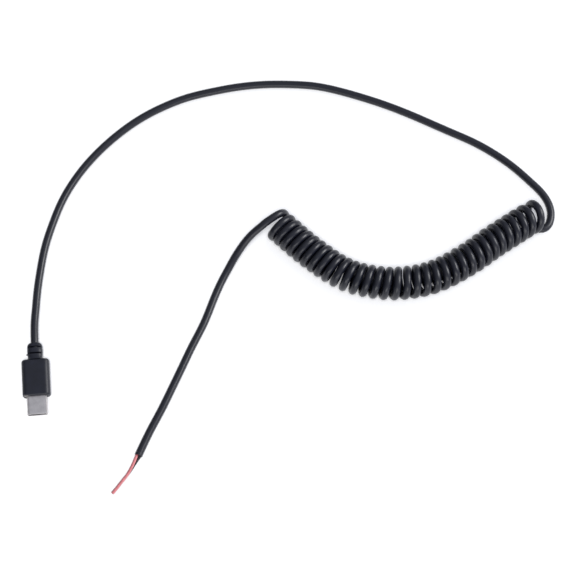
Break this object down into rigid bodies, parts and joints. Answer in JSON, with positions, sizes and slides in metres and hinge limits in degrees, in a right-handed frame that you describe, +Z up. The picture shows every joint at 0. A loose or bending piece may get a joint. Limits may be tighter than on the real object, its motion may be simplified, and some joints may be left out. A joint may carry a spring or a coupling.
{
  "type": "usb-c pigtail cable",
  "caption": "Curled pigtail cable with a moulded USB-C plug on one end and stripped red and black cores on the other.",
  "frame": {"origin": "middle of the plug (metal shell, insert and moulded grip with its neck), on the level that the plug and the curl lie on", "axes": "-Y out of the plug's mouth, +Y toward the cable, +Z up, +X toward the curl"},
  "size_m": [0.2262, 0.1774, 0.014],
  "materials": {
    "shell_steel": "satin drawn steel",
    "insert_plastic": "matt black insulator",
    "grip_rubber": "satin soft moulding, blue-black",
    "cable_jacket": "satin cable jacket, blue-black",
    "red_insulation": "soft gloss, salmon red",
    "black_insulation": "soft gloss, black"
  },
  "bodies": {
    "root": {"plug_shell": "shell_steel", "plug_insert": "insert_plastic", "plug_overmould": "grip_rubber", "cable_lead": "cable_jacket", "cable_coil": "cable_jacket", "cable_tail": "cable_jacket", "red_core": "red_insulation", "black_core": "black_insulation"}
  },
  "joints": []
}
